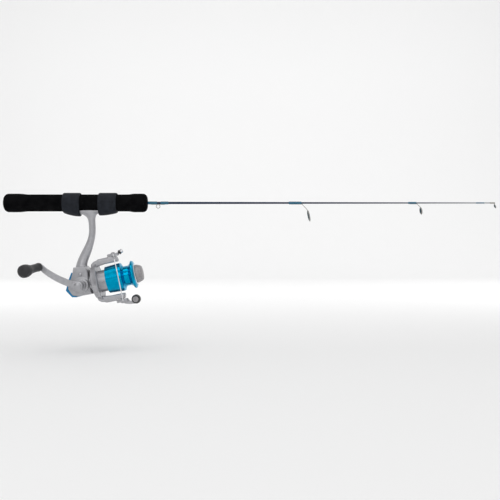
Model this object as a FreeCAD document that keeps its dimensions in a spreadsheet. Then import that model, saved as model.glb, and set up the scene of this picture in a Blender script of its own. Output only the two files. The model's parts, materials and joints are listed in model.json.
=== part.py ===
import FreeCAD, Part
import math
import os
import re
from FreeCAD import Placement, Rotation, Vector
import Sketcher

# Ice fishing rod with a small spinning reel. Millimetres, +X along the rod to its tip, +Z up.
# The origin is the centre of the grip's butt face. The reel hangs under the grip in a frame of
# its own: x along the spool's axis towards the drag knob, z up the stem, -y on the handle's side.

SIZES = {
    # rod
    "grip_length": 177.0,
    "grip_end_radius": 11.5,
    "grip_waist_radius": 10.55,
    "grip_straight": 18.0,
    "grip_flare": 30.0,
    "grip_front_straight": 10.0,
    "grip_front_flare": 24.0,
    "grip_rounding": 5.5,
    "grip_rounding_bow": 1.6,
    "blank_start": 4.0,
    "blank_butt_radius": 1.5,
    "blank_tip_radius": 0.5,
    "tip_tube_start": 602.4,
    "tip_tube_end": 608.2,
    "tip_tube_radius": 1.0,
    "wrap_thickness": 0.45,
    "foot_wire_radius": 0.4,
    # reel bands and reel foot
    "band_radius": 12.5,
    "band_gap": 0.3,
    "band_rear_start": 73.2,
    "band_rear_end": 94.5,
    "band_front_start": 117.2,
    "band_front_end": 139.6,
    "foot_start": 76.0,
    "foot_end": 131.0,
    "foot_half_width": 5.5,
    # reel frame
    "reel_forward": 98.0,
    "reel_down": 101.8,
    "reel_nose_up": 12.0,
    # reel body
    "case_half_width": 13.0,
    "case_wall": 1.8,
    "cover_thickness": 2.0,
    "nose_radius": 13.0,
    "nose_front": 14.6,
    "collar_radius": 8.5,
    "collar_front": 17.6,
    "boss_radius": 6.5,
    "boss_end": 20.0,
    # drive train
    "shaft_radius": 1.2,
    "fit": 0.08,
    "drive_shaft_radius": 2.5,
    "bush_radius": 4.2,
    "bush_length": 3.0,
    "gear_tooth_count": 32.0,
    "pinion_tooth_count": 8.0,
    "tooth_module": 0.6,
    "pinion_back": 7.0,
    "pinion_front": 12.0,
    "pinion_tube_radius": 3.0,
    "bearing_radius": 6.5,
    "bearing_length": 3.0,
    "stroke": 3.0,
    # rotor and bail
    "rotor_web": 19.5,
    "drum_radius": 13.4,
    "drum_front": 35.5,
    "arm_half_width": 6.0,
    "arm_tip": 48.0,
    "arm_inner": 19.8,
    "arm_outer": 26.6,
    "bail_pivot": 43.5,
    "bail_reach": 39.0,
    "bail_half_height": 28.8,
    "bail_wire_radius": 0.6,
    "bail_lean": 11.0,
    "bail_bend": 25.0,
    "roller_tilt": 24.0,
    # spool
    "skirt_back": 30.7,
    "skirt_radius": 17.4,
    "skirt_wall": 1.6,
    "skirt_front": 50.2,
    "arbor_radius": 12.3,
    "lip_back": 60.2,
    "lip_radius": 17.3,
    "spool_front": 66.2,
    "drag_cavity_radius": 9.0,
    "drag_cavity_back": 53.0,
    "knob_front": 75.0,
    # handle
    "handle_turn": 137.6,
    "handle_length": 47.0,
    "handle_hub_radius": 5.6,
    "handle_hub_face": 32.4,
    "arm_bow": 3.0,
    "knob_seat": 46.6,
    "knob_splay": 17.0,
    "knob_drop": 4.5,
    "knob_length": 36.0,
    "knob_post_radius": 1.6,
}

doc = FreeCAD.newDocument("ice_fishing_rod")
sheet = doc.addObject("Spreadsheet::Sheet", "sizes")
for row, (alias, value) in enumerate(SIZES.items(), start=1):
    sheet.set(f"A{row}", alias)
    sheet.set(f"B{row}", str(value))
    sheet.setAlias(f"B{row}", alias)
doc.recompute()

nodes = {}


# ---------------------------------------------------------------- sizes and places


def formula(text):
    """The sheet formula for a size written with the plain names of the cells."""
    return re.sub(r"[a-z]\w*", lambda word: "sizes." + word.group(), str(text))


def size(text):
    """The value of a formula, in millimetres or degrees."""
    value = sheet.evalExpression(formula(text))
    return float(getattr(value, "Value", value))


def bind(item, **properties):
    for name, text in properties.items():
        item.setExpression(name, formula(text))
    return item


def at(x=0, y=0, z=0, axis=(0, 0, 1), angle=0):
    """A placement from three formulas and a turn about an axis."""
    return Placement(Vector(size(x), size(y), size(z)), Rotation(Vector(*axis), size(angle)))


REEL = at("reel_forward", 0, "-reel_down", (0, 1, 0), "-reel_nose_up")
HANDLE = REEL * at(0, 0, 0, (0, 1, 0), "-handle_turn")
TOWARDS_HANDLE = at(0, 0, 0, (0, 0, 1), -90)
KNOB = (
    HANDLE
    * at("handle_length", "-knob_seat", 0)
    * at(0, 0, 0, (0, 1, 0), "handle_turn")
    * at(0, 0, 0, (0, 0, 1), "-90 - knob_splay")
    * at(0, 0, 0, (0, 1, 0), "knob_drop")
)
ROLLER = REEL * at("bail_pivot + 5", -2, "bail_half_height", (0, 1, 0), "-roller_tilt")


def label(item, name, place=None):
    """Names a finished sub-part, so that it is written as a node."""
    if place is not None:
        item.Placement = place
    item.Label = name
    nodes[name] = item
    return item


# ---------------------------------------------------------------- ways to make a shape


def outline(sketch, points):
    """A closed outline. Each point is (x, y) or (x, y, bow): bow is how far the side that
    leaves the point bulges to its left. The points are held by formulas from the sheet."""
    corners = [Vector(size(point[0]), size(point[1]), 0) for point in points]
    count = len(points)
    for index, point in enumerate(points):
        start = corners[index]
        end = corners[(index + 1) % count]
        bow = size(point[2]) if len(point) == 3 else 0
        if bow:
            along = (end - start).normalize()
            middle = (start + end) * 0.5 + Vector(-along.y, along.x, 0) * bow
            sketch.addGeometry(Part.Arc(start, middle, end), False)
        else:
            sketch.addGeometry(Part.LineSegment(start, end), False)
    constraints = []
    texts = []
    ends = []
    for index, corner in enumerate(corners):
        ends.append(1 if sketch.getPoint(index, 1).distanceToPoint(corner) < 1e-6 else 2)
    for index, point in enumerate(points):
        before = (index - 1) % count
        constraints.append(
            Sketcher.Constraint("Coincident", before, 3 - ends[before], index, ends[index])
        )
        texts.append(None)
        for kind, text in (("DistanceX", point[0]), ("DistanceY", point[1])):
            constraints.append(Sketcher.Constraint(kind, -1, 1, index, ends[index], size(text)))
            texts.append(text)
    sketch.addConstraint(constraints)
    for number, text in enumerate(texts):
        if isinstance(text, str):
            sketch.setExpression(f"Constraints[{number}]", formula(text))


def new_sketch(body, role, offset=0):
    plane = next(item for item in body.Origin.OriginFeatures if item.Role == role)
    sketch = body.newObject("Sketcher::SketchObject", body.Name + "_sketch")
    sketch.AttachmentSupport = (plane, [""])
    sketch.MapMode = "FlatFace"
    sketch.AttachmentOffset = at(0, 0, offset)
    return sketch


def turned(name, points):
    """A body turned about the x axis from its half outline (x, radius)."""
    body = doc.addObject("PartDesign::Body", name)
    sketch = new_sketch(body, "XY_Plane")
    outline(sketch, points)
    revolution = body.newObject("PartDesign::Revolution", name + "_turn")
    revolution.Profile = sketch
    revolution.ReferenceAxis = (sketch, ["H_Axis"])
    revolution.Angle = 360.0
    sketch.Visibility = False
    return body


def plate(name, role, points, thickness, offset=0, midplane=True):
    """A body padded from an outline on one of its origin planes."""
    body = doc.addObject("PartDesign::Body", name)
    sketch = new_sketch(body, role, offset)
    outline(sketch, points)
    pad = body.newObject("PartDesign::Pad", name + "_pad")
    pad.Profile = sketch
    pad.Midplane = midplane
    bind(pad, Length=thickness)
    return body


def ring(name, inner, outer, start, end):
    """A plain ring or, with inner 0, a disc, about the x axis."""
    return turned(name, [(start, inner), (end, inner), (end, outer), (start, outer)])


def round_edges(body, radius, chosen):
    """Rounds the edges of a body that pass the test called with each edge."""
    doc.recompute()
    tip = body.Tip
    names = [
        f"Edge{number}"
        for number, edge in enumerate(tip.Shape.Edges, start=1)
        if chosen(edge)
    ]
    rounding = body.newObject("PartDesign::Fillet", body.Name + "_round")
    rounding.Base = (tip, names)
    bind(rounding, Radius=radius)
    body.Tip = rounding
    return body


def cylinder(name, radius, length, place):
    item = doc.addObject("Part::Cylinder", name)
    bind(item, Radius=radius, Height=length)
    item.Placement = place
    return item


def box(name, low, high):
    item = doc.addObject("Part::Box", name)
    item.Placement = at(*low)
    bind(
        item,
        Length=f"({high[0]}) - ({low[0]})",
        Width=f"({high[1]}) - ({low[1]})",
        Height=f"({high[2]}) - ({low[2]})",
    )
    return item


def along_x(x, y=0, z=0):
    """The place of a cylinder that starts at a point and runs along +x."""
    return at(x, y, z, (0, 1, 0), 90)


def towards_handle(x, y, z):
    """The place of a cylinder that starts at a point and runs along -y."""
    return at(x, y, z, (1, 0, 0), 90)


def fuse(name, items):
    doc.recompute()
    joined = doc.addObject("Part::MultiFuse", name)
    joined.Shapes = items
    return joined


def cut(name, base, tool):
    doc.recompute()
    result = doc.addObject("Part::Cut", name)
    result.Base = base
    result.Tool = tool
    return result


def common(name, items):
    doc.recompute()
    result = doc.addObject("Part::MultiCommon", name)
    result.Shapes = items
    return result


def group(name, items):
    """Several equal solids as one node."""
    doc.recompute()
    result = doc.addObject("Part::Compound", name)
    result.Links = items
    return result


def ellipse(name, across, along, place):
    """An upright or flat ellipse: across and along are its half sizes on its own x and y."""
    item = doc.addObject("Part::Ellipse", name)
    upright = size(along) >= size(across)
    bind(item, MajorRadius=along if upright else across, MinorRadius=across if upright else along)
    turn = Placement(Vector(), Rotation(Vector(0, 0, 1), 90 if upright else 0))
    item.Placement = place * turn
    return item


def loft(name, sections, ruled=False):
    doc.recompute()
    item = doc.addObject("Part::Loft", name)
    item.Sections = sections
    item.Solid = True
    item.Ruled = ruled
    return item


def pan_screw(name, head, shank, length):
    """A pan-head screw about the x axis. Its head stands out on +x from x = 0."""
    body = turned(
        name,
        [
            (f"-({length})", 0),
            (f"{head}*0.55", 0),
            (f"{head}*0.5", f"{head}*0.5", f"-{head}*0.12"),
            (0, head),
            (0, shank),
            (f"-({length})", shank),
        ],
    )
    return body


# ---------------------------------------------------------------- rod

ACROSS_ROD = Placement(Vector(), Rotation(Vector(1, 1, 1), 120))


def blank_radius(x):
    """The blank's radius where it tapers, as a formula in the place x along the rod."""
    return (
        "blank_butt_radius + (blank_tip_radius - blank_butt_radius)"
        f"*(({x}) - grip_length)/(tip_tube_start - grip_length)"
    )


def rod_blank():
    points = [
        ("blank_start", 0),
        ("tip_tube_end", 0),
        ("tip_tube_end", "blank_tip_radius"),
        ("tip_tube_start", "blank_tip_radius"),
        ("grip_length", "blank_butt_radius"),
        ("blank_start", "blank_butt_radius"),
    ]
    label(turned("blank", points), "rod_blank")


def grip():
    front_straight = "grip_length - grip_rounding - grip_front_straight"
    points = [
        (0, 0),
        (0, "grip_end_radius - grip_rounding", "grip_rounding_bow"),
        ("grip_rounding", "grip_end_radius"),
        ("grip_straight", "grip_end_radius"),
        ("grip_flare", "grip_waist_radius"),
        ("grip_length - grip_front_flare", "grip_waist_radius"),
        (front_straight, "grip_end_radius"),
        ("grip_length - grip_rounding", "grip_end_radius", "grip_rounding_bow"),
        ("grip_length", "grip_end_radius - grip_rounding"),
        ("grip_length", "blank_butt_radius"),
        ("blank_start", "blank_butt_radius"),
        ("blank_start", 0),
    ]
    label(turned("foam", points), "grip")


def sagging_tube(name, radius, stations):
    """A solid round the rod's axis, round above and deeper below. Each station is a place
    along the rod and how deep the solid hangs there."""
    sections = [
        ellipse(f"{name}_{index}", radius, bottom, at(x) * ACROSS_ROD)
        for index, (x, bottom) in enumerate(stations)
    ]
    sagging = loft(name + "_loft", sections, ruled=True)
    start = stations[0][0]
    end = stations[-1][0]
    below = box(name + "_below", (start, -30, -30), (end, 30, 0))
    lower = common(name + "_lower", [sagging, below])
    upper = cylinder(name + "_upper", radius, f"({end}) - ({start})", along_x(start))
    return fuse(name, [lower, upper])


def reel_band(name, stations):
    """A rubber band round the grip and over one end of the reel foot."""
    wall = "band_radius - grip_waist_radius - band_gap"
    hollow = [(x, f"{bottom} - ({wall})") for x, bottom in stations]
    outer = sagging_tube(name + "_outer", "band_radius", stations)
    inner = sagging_tube(name + "_inner", "grip_waist_radius + band_gap", hollow)
    label(cut(name + "_sleeve", outer, inner), name)


def foot_shape():
    """The reel foot: a thin plate under the grip, thickest at the stem, in the reel's frame."""
    stations = [
        ("foot_start", 11.2),
        ("foot_start + 7.5", 12.6),
        ("band_rear_end", 14.4),
        (106, 15.0),
        ("band_front_start", 13.3),
        ("band_front_start + 7", 13.2),
        ("foot_end", 11.2),
    ]
    to_reel = REEL.inverse()
    underside = sagging_tube("foot_underside", "grip_waist_radius - 0.2", stations)
    plan = plate(
        "foot_plan",
        "XY_Plane",
        [
            ("foot_start + 3", "-foot_half_width"),
            ("foot_end - 3", "-foot_half_width", "-3"),
            ("foot_end - 3", "foot_half_width"),
            ("foot_start + 3", "foot_half_width", "-3"),
        ],
        20,
        offset=-10,
    )
    foot = common("foot", [underside, plan])
    foot.Placement = to_reel
    return foot


def wrap(name, start, end, thickness, foot_wire=None):
    """A thread wrap on the tapered blank, laid over a guide's foot wire where there is one."""
    points = [
        (start, blank_radius(start)),
        (end, blank_radius(end)),
        (end, f"{blank_radius(end)} + ({thickness})*0.6"),
        (f"{end} - 0.8", f"{blank_radius(end)} + {thickness}"),
        (f"{start} + 0.8", f"{blank_radius(start)} + {thickness}"),
        (start, f"{blank_radius(start)} + ({thickness})*0.6"),
    ]
    body = turned(name + "_turns", points)
    if foot_wire is None:
        label(body, name)
        return
    label(cut(name + "_over_foot", body, foot_wire), name)


def hook_keeper():
    """A wire loop under the blank that holds the hook, its feet under the two keeper wraps."""
    drop = f"-({blank_radius(182)}) - foot_wire_radius"
    feet = cylinder("keeper_feet", "foot_wire_radius", 17, along_x(182, 0, drop))
    loop = doc.addObject("Part::Torus", "keeper_loop")
    bind(loop, Radius1="2.3", Radius2="foot_wire_radius")
    loop.Placement = at(190.4, 0, f"{drop} - 2.4", (1, 0, 0), 90)
    label(fuse("keeper", [feet, loop]), "hook_keeper")
    return feet


def line_guide(name, wrap_start, wrap_end, ring_x, ring_z, hoop_radius, eye_radius, tilt):
    """A single-foot guide: a wire foot and leg, a wire hoop and a ceramic ring in the hoop."""
    wire = "foot_wire_radius"
    drop = f"-({blank_radius(wrap_end)}) - {wire} - 0.05"
    frame = at(ring_x, 0, ring_z, (0, 1, 0), f"-({tilt})")
    hoop = doc.addObject("Part::Torus", name + "_hoop")
    bind(hoop, Radius1=hoop_radius, Radius2=wire)
    hoop.Placement = frame * at(0, 0, 0, (0, 1, 0), 90)
    knee = Vector(size(wrap_end) + 0.6, 0, size(drop))
    crown = frame.multVec(Vector(0, 0, size(hoop_radius)))
    leg_line = crown - knee
    foot = cylinder(name + "_foot", wire, f"({wrap_end}) - ({wrap_start}) - 1.4",
                    along_x(f"({wrap_start}) + 2", 0, drop))
    leg = doc.addObject("Part::Cylinder", name + "_leg")
    bind(leg, Radius=wire)
    leg.Height = leg_line.Length
    leg.Placement = Placement(knee, Rotation(Vector(0, 0, 1), leg_line))
    elbow = doc.addObject("Part::Sphere", name + "_elbow")
    bind(elbow, Radius=wire)
    elbow.Placement = Placement(knee, Rotation())
    label(fuse(name + "_wire", [foot, elbow, leg, hoop]), name + "_frame")
    rim = f"{hoop_radius} - {wire}"
    points = [
        (-0.55, eye_radius),
        (0.55, eye_radius, "-0.25"),
        (0.85, f"({eye_radius} + {rim})/2", "-0.25"),
        (0.4, rim),
        (-0.4, rim, "-0.25"),
        (-0.85, f"({eye_radius} + {rim})/2", "-0.25"),
    ]
    label(turned(name + "_eye", points), name + "_ring", frame)
    return foot


def tip_top():
    """The tube on the blank's end, its hoop and the ceramic ring in the hoop."""
    frame = at("tip_tube_end + 0.3", 0, -4.1, (0, 1, 0), -19.6)
    hoop = doc.addObject("Part::Torus", "tip_hoop")
    bind(hoop, Radius1="2.4", Radius2="0.3")
    hoop.Placement = frame * at(0, 0, 0, (0, 1, 0), 90)
    tube = cylinder(
        "tip_tube", "tip_tube_radius", "tip_tube_end - tip_tube_start", along_x("tip_tube_start")
    )
    strut = cylinder("tip_strut", "0.45", 1.6, at("tip_tube_end - 0.4", 0, -2.2))
    solid = fuse("tip_wire", [tube, strut, hoop])
    bore = cylinder(
        "tip_bore", "blank_tip_radius", "tip_tube_end - tip_tube_start", along_x("tip_tube_start")
    )
    label(cut("tip_tube_and_hoop", solid, bore), "tip_top_frame")
    points = [
        (-0.4, 1.45),
        (0.4, 1.45, "-0.15"),
        (0.55, 1.8, "-0.15"),
        (0.3, 2.1),
        (-0.3, 2.1, "-0.15"),
        (-0.55, 1.8, "-0.15"),
    ]
    label(turned("tip_eye", points), "tip_ring", frame)


def rod():
    rod_blank()
    grip()
    reel_band(
        "reel_band_rear",
        [("band_rear_start", "band_radius"), (83.2, 14.9), ("band_rear_end", 16.7)],
    )
    reel_band(
        "reel_band_front",
        [
            ("band_front_start", 15.6),
            (129.4, 15.4),
            ("band_front_end", "band_radius"),
        ],
    )
    feet = hook_keeper()
    wrap("keeper_wrap_rear", 177.6, 189.4, "wrap_thickness", feet)
    wrap("keeper_wrap_front", 193.2, 203.4, "wrap_thickness", feet)
    foot = line_guide("guide_1", 352.4, 368.4, 377.3, -15.9, 7.05, 5.3, 12)
    wrap("guide_1_wrap", 352.4, 368.4, 0.7, foot)
    foot = line_guide("guide_2", 500.6, 511.0, 516.6, -9.8, 4.4, 3.0, 7.5)
    wrap("guide_2_wrap", 500.6, 511.0, 0.6, foot)
    wrap("tip_wrap", 584.6, 595.5, 0.3)
    tip_top()


# ---------------------------------------------------------------- reel body

CASE = [
    (11, -13),
    (11, 17),
    (8.5, 22),
    (-5.2, 23.5),
    (-7.7, 16.8),
    (-17, -0.5),
    (-13.3, -9.6),
    (-7.7, -12.4),
    (4.9, -12.8),
]
CAVITY = [
    (9.2, -11.2),
    (9.2, 15),
    (-6, 15),
    (-13.4, 3),
    (-15, -1),
    (-11.6, -8.6),
    (-7, -11.2),
]
# height up the stem, back, front and half width
STEM = [
    (8, -7.4, 9.5, 8.5),
    (20, -6.6, 9.6, 7.4),
    (30, -1.7, 12.6, 5.8),
    (38, 3.9, 17.8, 4.9),
    (47, 11.2, 22.6, 4.4),
    (58, 18.4, 27.2, 4.2),
    (73, 21.9, 30.4, 4.1),
    (80, 21.7, 32.4, 4.4),
    (84.5, 18.4, 36.4, 5.2),
    (90, 13.5, 39, 5.6),
]
COVER_SCREWS = [(7, 13), (-8.2, -9.2), (6.4, -9.2)]
REAR_SCREW = at(-19.3, 0, 0, (0, 1, 0), 206.2)
INTO_REAR = REAR_SCREW * at(2, 0, 0, (0, 1, 0), -90)
GUIDE_ROD = (1, -6)


def stem():
    sections = [
        ellipse(
            f"stem_{height}",
            (front - back) / 2,
            half_width,
            at((front + back) / 2, 0, height),
        )
        for height, back, front, half_width in STEM
    ]
    return loft("stem", sections)


def reel_body():
    case = plate("case", "XZ_Plane", CASE, "2*case_half_width - cover_thickness",
                 offset="cover_thickness/2")
    round_edges(
        case,
        3,
        lambda edge: abs(edge.CenterOfMass.y + size("case_half_width")) < 0.01
        and edge.CenterOfMass.x > -9
        and edge.CenterOfMass.z < 18,
    )
    nose = cylinder("nose", "nose_radius", "nose_front - 11", along_x(11))
    collar = cylinder("collar", "collar_radius", "collar_front - 12", along_x(12))
    flange = cylinder("boss_flange", "boss_radius + 2.6", 4, towards_handle(0, -11, 0))
    boss = cylinder("boss", "boss_radius", "boss_end - 11", towards_handle(0, -11, 0))
    pawl_post = cylinder("pawl_post", 1, 5.4, along_x(13.8, 0, -10.75))
    outside = fuse("case_outside", [case, stem(), foot_shape(), nose, collar, flange, boss])
    cavity = plate("cavity", "XZ_Plane", CAVITY, 22.6, offset=-0.1)
    nose_room = cylinder("nose_room", "nose_radius - 1.2", "nose_front - 1 - 6", along_x(6))
    lip_hole = cylinder("lip_hole", 4.6, 4, along_x("nose_front - 2"))
    bearing_seat = cylinder(
        "bearing_seat", "bearing_radius", 6, along_x("collar_front - bearing_length - 0.2")
    )
    shaft_hole = cylinder("shaft_hole", "drive_shaft_radius + 0.6", 12, towards_handle(0, -10, 0))
    inner_seat = cylinder("inner_seat", "bush_radius", "bush_length + 2", towards_handle(0, -9.2, 0))
    outer_seat = cylinder(
        "outer_seat", "bush_radius", "bush_length + 2", towards_handle(0, "bush_length - boss_end", 0)
    )
    rod_hole = cylinder("rod_hole", 1, 28.2, along_x(-14, *GUIDE_ROD))
    seat = cylinder("grip_seat", "grip_waist_radius", 120, REEL.inverse() * along_x(50))
    room = fuse(
        "case_room",
        [cavity, nose_room, lip_hole, bearing_seat, shaft_hole, inner_seat, outer_seat,
         rod_hole, seat],
    )
    hollow = cut("case_hollow", outside, room)
    posts = [
        cylinder(f"post_{index}", 2.2, 6, at(x, 5, z, (1, 0, 0), -90))
        for index, (x, z) in enumerate(COVER_SCREWS)
    ]
    kept = fuse("case_with_posts", [hollow, pawl_post] + posts)
    holes = fuse(
        "screw_holes",
        [
            cylinder(f"post_hole_{index}", 1, 5, at(x, 7.8, z, (1, 0, 0), -90))
            for index, (x, z) in enumerate(COVER_SCREWS)
        ]
        + [
            cylinder("rear_screw_hole", 1, 7.2, INTO_REAR),
            cylinder("oil_hole", 1.4, 3, at(1.2, "-case_half_width", 13.4, (1, 0, 0), -90)),
        ],
    )
    label(cut("case_finished", kept, holes), "reel_body", REEL)


def side_cover():
    thickness = size("cover_thickness")
    middle = "-(case_half_width - cover_thickness/2)"
    lid = plate("lid", "XZ_Plane", CASE, "cover_thickness", offset=middle)
    round_edges(lid, 1.2, lambda edge: edge.CenterOfMass.y > size("case_half_width") - 0.01)
    holes = fuse(
        "lid_holes",
        [
            cylinder(f"lid_hole_{index}", 1, 2 * thickness, at(x, 10, z, (1, 0, 0), -90))
            for index, (x, z) in enumerate(COVER_SCREWS)
        ],
    )
    label(cut("lid_drilled", lid, holes), "side_cover", REEL)


def rear_cover():
    points = [
        (-7.7, 16.8),
        (-9.2, 18),
        (-14.6, 9.4),
        (-20.4, -2.4),
        (-14.4, -12),
        (-7.9, -13.2),
        (-7.7, -12.4),
        (-13.3, -9.6),
        (-17, -0.5),
    ]
    shell = plate("shell", "XZ_Plane", points, "2*case_half_width - 1")
    round_edges(
        shell,
        1.1,
        lambda edge: abs(abs(edge.CenterOfMass.y) - size("case_half_width") + 0.5) < 0.01
        and edge.CenterOfMass.x < -11
        and edge.CenterOfMass.distanceToPoint(Vector(-15, edge.CenterOfMass.y, -5)) > 3.2
        and edge.CenterOfMass.distanceToPoint(Vector(-12.4, edge.CenterOfMass.y, 8.2)) > 1.6,
    )
    hole = cylinder("shell_hole", 1, 7.2, INTO_REAR)
    label(cut("shell_drilled", shell, hole), "rear_cover", REEL)


def case_screws():
    """Four equal screws: three hold the side cover and one holds the rear cover."""
    places = [at(x, "case_half_width", z, (0, 0, 1), 90) for x, z in COVER_SCREWS]
    places.append(REAR_SCREW)
    screws = []
    for index, place in enumerate(places):
        screw = pan_screw(f"case_screw_{index}", 1.9, 1, 5)
        screw.Placement = place
        screws.append(screw)
    label(group("screws", screws), "case_screws", REEL)


def oil_plug():
    plug = pan_screw("oil_screw", 2.4, 1.4, 1.8)
    label(plug, "oil_port_plug", REEL * at(1.2, "-case_half_width", 13.4) * TOWARDS_HANDLE)


# ---------------------------------------------------------------- drive train


def bushes():
    for name, start in (
        ("bush_inner", "case_half_width - case_wall"),
        ("bush_outer", "boss_end - bush_length"),
    ):
        bush = ring(
            name + "_turned",
            "drive_shaft_radius + fit",
            "bush_radius",
            start,
            f"{start} + bush_length",
        )
        label(bush, name, REEL * TOWARDS_HANDLE)


def drive_gear():
    """A face gear on the drive shaft. Its own x points to the handle and a tooth lies on y."""
    pitch = "tooth_module*pinion_tooth_count/2"
    root = f"{pitch} + tooth_module*1.15"
    tip = f"{pitch} - tooth_module*0.5"
    wheel = turned(
        "wheel",
        [
            (4.6, "drive_shaft_radius"),
            (4.6, 7.8),
            (root, 8.1),
            (root, 10.9),
            (6.4, 10.9),
            (7.4, 10),
            (7.4, 5),
            (8.4, 5),
            (8.4, "drive_shaft_radius"),
        ],
    )
    upright = Placement(Vector(), Rotation(Vector(0, 0, -1), Vector(-1, 0, 0), Vector(0, 1, 0)))
    count = int(size("gear_tooth_count"))
    teeth = []
    for index in range(count):
        tooth = doc.addObject("Part::Wedge", f"gear_tooth_{index}")
        bind(tooth, Xmin="-tooth_module*0.98", Xmax="tooth_module*0.98", Ymax=f"{root} - ({tip}) + 0.2")
        bind(tooth, X2min="-tooth_module*0.38", X2max="tooth_module*0.38")
        bind(tooth, Zmin="8.3", Z2min="8.3", Zmax="10.8", Z2max="10.8")
        tooth.Ymin = 0
        turn = at(0, 0, 0, (1, 0, 0), 360 * index / count)
        tooth.Placement = turn * at(f"{root} + 0.2") * upright
        teeth.append(tooth)
    pin = cylinder("crank_pin", 0.9, 1, at(3.7, 0, "stroke", (0, 1, 0), 90))
    label(fuse("wheel_and_pin", [wheel, pin] + teeth), "drive_gear", REEL * TOWARDS_HANDLE)


def drive_shaft():
    points = [
        (4.8, 0),
        ("handle_hub_face - 3.4", 0),
        ("handle_hub_face - 3.4", "drive_shaft_radius - 0.4"),
        ("handle_hub_face - 3.8", "drive_shaft_radius"),
        (4.8, "drive_shaft_radius"),
    ]
    shaft = turned("drive_bar", points)
    hole = cylinder("drive_thread", 1.5, 9, at("handle_hub_face - 10", 0, 0, (0, 1, 0), 90))
    label(cut("drive_bar_tapped", shaft, hole), "drive_shaft", REEL * TOWARDS_HANDLE)


def pinion():
    """The pinion and its long tube, which carries the rotor. A tooth gap faces the gear."""
    pitch = "tooth_module*pinion_tooth_count/2"
    bore = "shaft_radius + fit"
    tube = turned(
        "pinion_tube",
        [
            ("pinion_back", bore),
            (34, bore),
            (34, "pinion_tube_radius - 0.5"),
            (30, "pinion_tube_radius - 0.5"),
            (30, "pinion_tube_radius"),
            ("pinion_front + 0.4", "pinion_tube_radius"),
            ("pinion_front", f"{pitch} - tooth_module*0.75"),
            ("pinion_back", f"{pitch} - tooth_module*0.75"),
        ],
    )
    sketch = new_sketch(tube, "YZ_Plane", "pinion_back")
    outline(
        sketch,
        [
            (f"{pitch} - tooth_module", "-tooth_module*0.95"),
            (pitch, "-tooth_module*0.6"),
            (f"{pitch} + tooth_module*0.72", "-tooth_module*0.26"),
            (f"{pitch} + tooth_module*0.72", "tooth_module*0.26"),
            (pitch, "tooth_module*0.6"),
            (f"{pitch} - tooth_module", "tooth_module*0.95"),
        ],
    )
    tooth = tube.newObject("PartDesign::Pad", "pinion_tooth")
    tooth.Profile = sketch
    bind(tooth, Length="pinion_front - pinion_back")
    doc.recompute()
    teeth = tube.newObject("PartDesign::PolarPattern", "pinion_teeth")
    teeth.Originals = [tooth]
    teeth.Axis = (sketch, ["N_Axis"])
    teeth.Angle = 360
    teeth.Occurrences = int(size("pinion_tooth_count"))
    tube.Tip = teeth
    half_gap = 180 / size("pinion_tooth_count")
    label(tube, "pinion", REEL * at(0, 0, 0, (1, 0, 0), half_gap))


def star(name, outer, inner, tooth_count, start, thickness, bore):
    """A flat wheel with sawtooth edges about the x axis."""
    points = []
    for index in range(tooth_count):
        for radius, turn in ((outer, 0), (inner, 0.15)):
            angle = 2 * math.pi * (index + turn) / tooth_count
            points.append((round(radius * math.cos(angle), 4), round(radius * math.sin(angle), 4)))
    blank = plate(name + "_blank", "YZ_Plane", points, thickness, offset=start, midplane=False)
    hole = cylinder(name + "_hole", bore, size(thickness) + 2, along_x(size(start) - 1))
    return cut(name + "_wheel", blank, hole)


def anti_reverse():
    wheel = star("ratchet", 5.8, 4.9, 12, 17.9, 1.2, "pinion_tube_radius")
    label(wheel, "ratchet_wheel", REEL)
    finger = plate(
        "finger",
        "YZ_Plane",
        [(-2, -1), (-1, -2), (1, -2), (2, -0.6), (4.6, 5.0), (3.9, 5.6), (0.6, 2), (-2, 1)],
        1.1,
        offset=17.9,
        midplane=False,
    )
    hole = cylinder("finger_hole", 1.08, 4, along_x(17))
    place = REEL * at(0, 0, -10.75)
    label(cut("finger_drilled", finger, hole), "anti_reverse_pawl", place)


def main_shaft():
    points = [
        (-10, 0),
        (72.5, 0),
        (72.5, "shaft_radius"),
        (-10, "shaft_radius"),
    ]
    label(turned("spindle", points), "main_shaft", REEL)


def slider():
    """The block on the shaft's back end that the crank pin pushes to and fro."""
    solid = fuse(
        "slider_solid",
        [
            box("slider_core", (-9.2, -1.8, -2.6), (2.6, 2.2, 2.6)),
            box("slider_lug", (-8.6, -1, -8), (-4, 3, -2)),
            box("slider_plate", (-2.6, -3.4, -5.2), (2.6, -1.2, 5.2)),
        ],
    )
    room = fuse(
        "slider_room",
        [
            box("slider_slot", (-1.1, -4, -4.3), (1.1, -2, 4.3)),
            cylinder("slider_bore", "shaft_radius", 16, along_x(-12)),
            cylinder("slider_guide_bore", "1 + fit", 16, along_x(-12, *GUIDE_ROD)),
        ],
    )
    label(cut("slider_cut", solid, room), "oscillation_slider", REEL)
    rod_item = cylinder("guide_bar", 1, 28.2, REEL * along_x(-14, *GUIDE_ROD))
    label(rod_item, "slider_guide_rod")
    screw = pan_screw("spindle_screw", 2, 0.5, 0.4)
    label(screw, "slider_screw", REEL * at(-10, 0, 0, (0, 1, 0), 180))


def bearing():
    start = "collar_front - bearing_length - 0.2"
    race = ring(
        "race", "pinion_tube_radius + fit", "bearing_radius", start, f"{start} + bearing_length"
    )
    label(race, "pinion_bearing", REEL)


# ---------------------------------------------------------------- rotor and bail


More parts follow.
